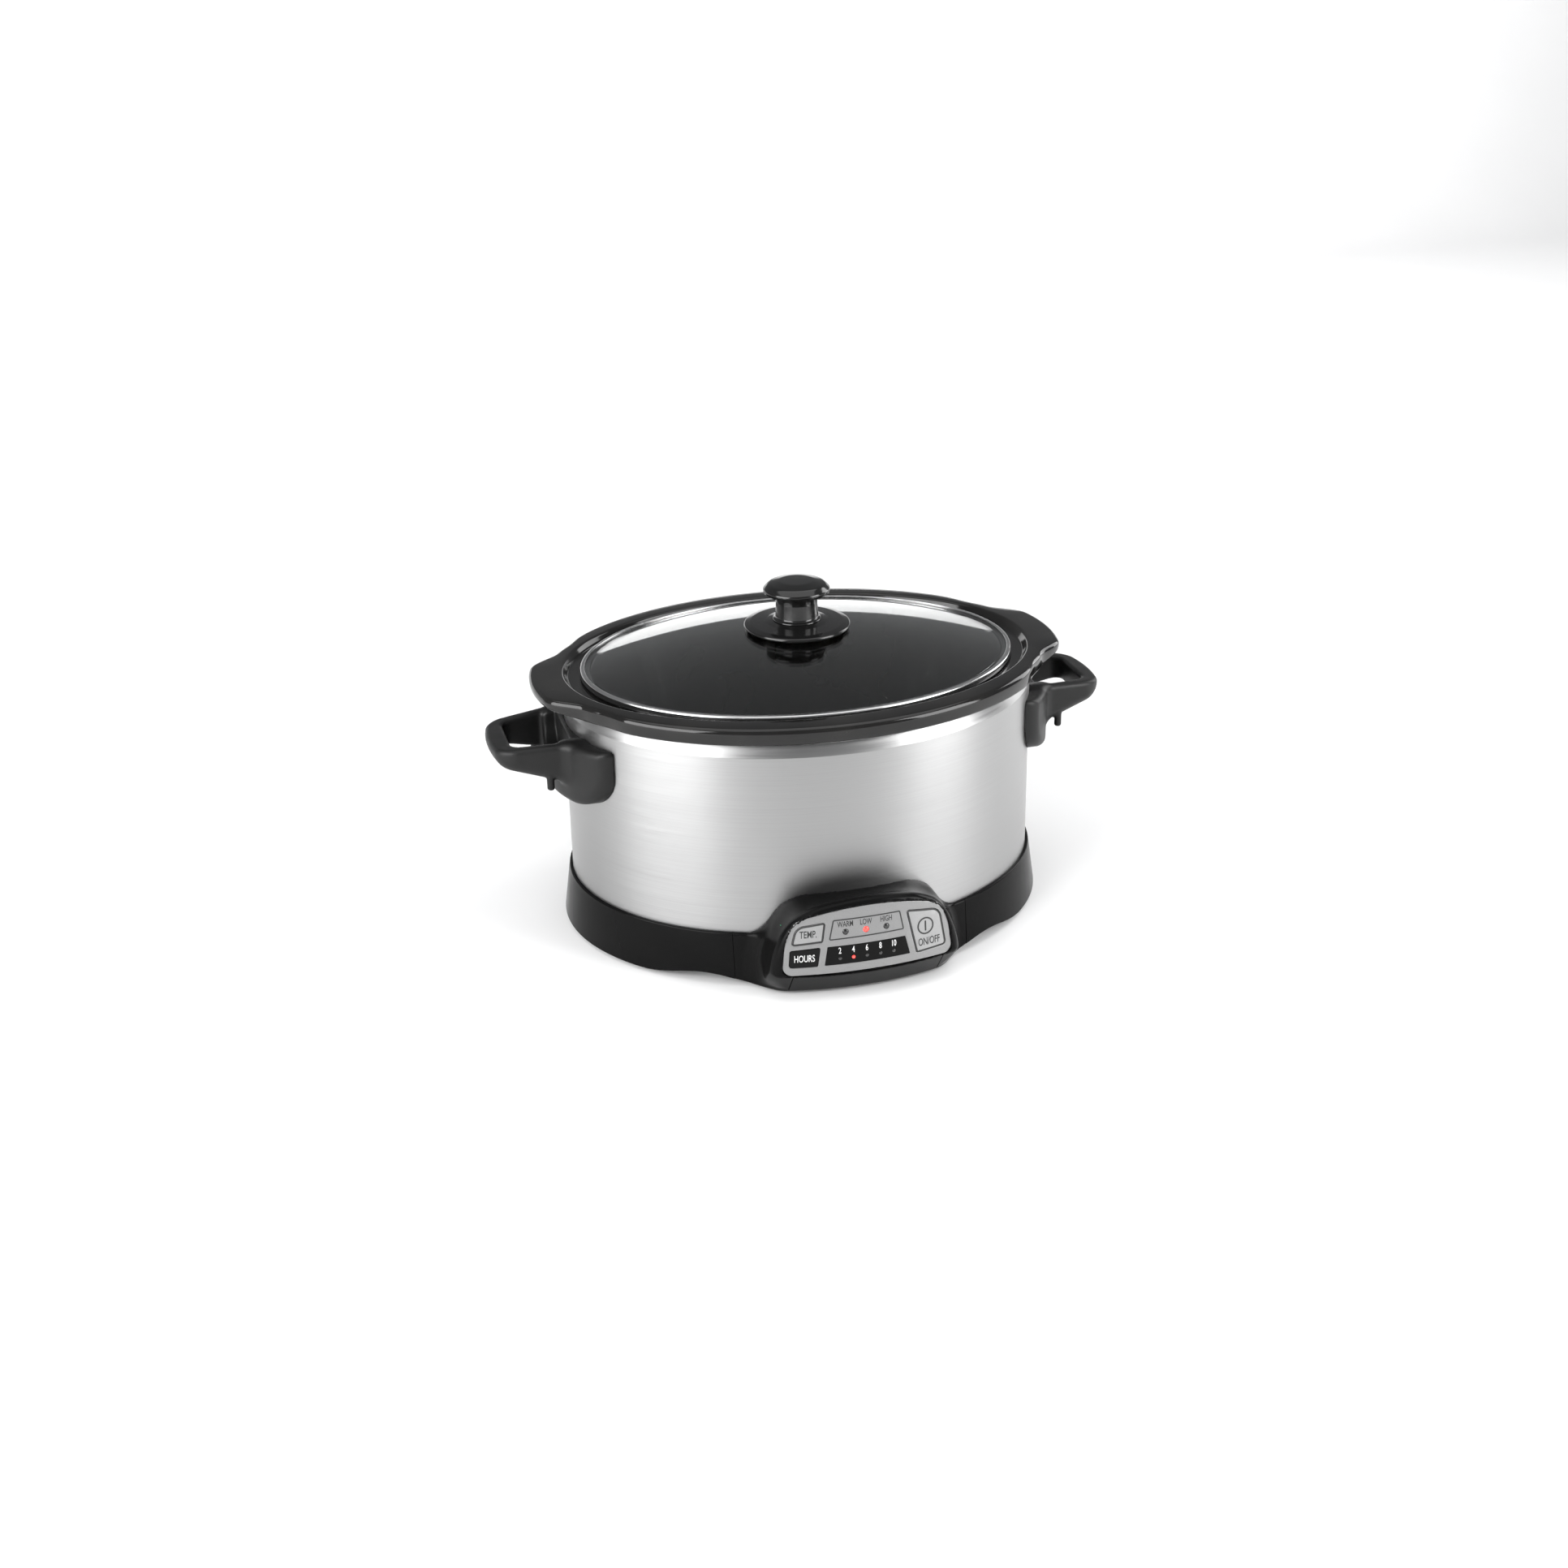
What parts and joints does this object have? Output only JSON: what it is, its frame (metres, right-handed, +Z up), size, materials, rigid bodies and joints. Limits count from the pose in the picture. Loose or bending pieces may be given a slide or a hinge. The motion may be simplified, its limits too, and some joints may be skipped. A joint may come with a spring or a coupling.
{
  "type": "slow cooker",
  "caption": "Oval programmable slow cooker: brushed steel casing on a flared black base, lift-out glazed crock, domed glass lid, loop handles and a tilted control panel with keys and lamps.",
  "frame": {"origin": "centre of the footprint's bounding box, on the surface it stands on", "axes": "+Z up, +X along the long axis from one handle to the other, -Y towards the control panel"},
  "size_m": [0.398, 0.2888, 0.2168],
  "materials": {
    "shell_steel": "horizontally brushed stainless steel",
    "glazed_stoneware": "glossy black glaze on stoneware",
    "lid_glass": "clear tempered glass",
    "rim_steel": "bright rolled stainless band",
    "knob_plastic": "gloss black phenolic, fine moulded surface",
    "handle_plastic": "satin black heat-resistant plastic",
    "base_plastic": "semi-gloss black moulded plastic",
    "facia_silver": "fine satin silver printed panel skin",
    "key_silver": "silver painted keys, satin",
    "key_black": "black key with white lettering",
    "window_black": "smoked black display window",
    "lamp_red": "translucent red lamp lenses",
    "well_steel": "plain drawn sheet",
    "plate_steel": "black painted sheet steel",
    "galvanised": "plain zinc-plated sheet",
    "screw_steel": "bright zinc-plated fasteners",
    "foot_rubber": "matt black rubber",
    "heater_mica": "mica and foil heating band",
    "glass_wool": "woven glass-fibre insulation",
    "board_green": "solder-masked circuit board",
    "part_black": "moulded electrical parts",
    "relay_blue": "moulded relay case",
    "capacitor_yellow": "film capacitor case",
    "terminal_green": "moulded terminal bodies",
    "silicone_white": "silicone washers and lead sleeving",
    "ribbon_grey": "grey ribbon cable",
    "fuse_metal": "bare metal can"
  },
  "bodies": {
    "housing": {"outer_shell": "shell_steel", "handle_left": "handle_plastic", "handle_right": "handle_plastic", "handle_screws": "screw_steel", "base_ring": "base_plastic", "control_housing": "base_plastic", "front_strip": "base_plastic", "facia": "facia_silver", "hours_window": "window_black", "level_lamps": "lamp_red", "hour_lamps": "lamp_red", "heating_well": "well_steel", "heater_band": "heater_mica", "insulation_sleeve": "glass_wool", "band_clamp": "galvanised", "heater_leads": "silicone_white", "bottom_plate": "plate_steel", "feet": "foot_rubber", "base_screws": "screw_steel", "centre_stud": "screw_steel", "stud_nut": "screw_steel", "stud_washer": "screw_steel", "heat_shield": "galvanised", "power_board": "board_green", "board_screws": "screw_steel", "relay": "relay_blue", "transformer": "part_black", "film_capacitor": "capacitor_yellow", "terminal_block": "terminal_green", "thermal_fuse": "fuse_metal", "fuse_clip": "galvanised", "temperature_sensor": "fuse_metal", "ribbon_cable": "ribbon_grey", "control_board": "board_green", "key_switches": "part_black", "cord_inlet_bush": "part_black"},
    "crock": {"crock": "glazed_stoneware"},
    "lid": {"lid_glass": "lid_glass", "lid_rim_band": "rim_steel", "lid_knob": "knob_plastic", "knob_skirt": "knob_plastic", "knob_gasket": "silicone_white", "knob_washer": "screw_steel", "knob_screw": "screw_steel"},
    "temp_key": {"temp_key": "key_silver"},
    "hours_key": {"hours_key": "key_black"},
    "power_key": {"power_key": "key_silver"}
  },
  "joints": [
    {"name": "crock_lift", "type": "slide", "parent": "housing", "child": "crock", "axis": [0, 0, 1], "range_m": [0, 0.17]},
    {"name": "lid_lift", "type": "slide", "parent": "crock", "child": "lid", "axis": [0, 0, 1], "range_m": [0, 0.12]},
    {"name": "temp_key_press", "type": "slide", "parent": "housing", "child": "temp_key", "axis": [0, 0.9945, -0.1045], "range_m": [0, 0.0006], "stiffness_N_per_m": 300, "springref_m": -0.0005},
    {"name": "hours_key_press", "type": "slide", "parent": "housing", "child": "hours_key", "axis": [0, 0.9945, -0.1045], "range_m": [0, 0.0006], "stiffness_N_per_m": 300, "springref_m": -0.0005},
    {"name": "power_key_press", "type": "slide", "parent": "housing", "child": "power_key", "axis": [0, 0.9945, -0.1045], "range_m": [0, 0.0006], "stiffness_N_per_m": 300, "springref_m": -0.0005}
  ]
}
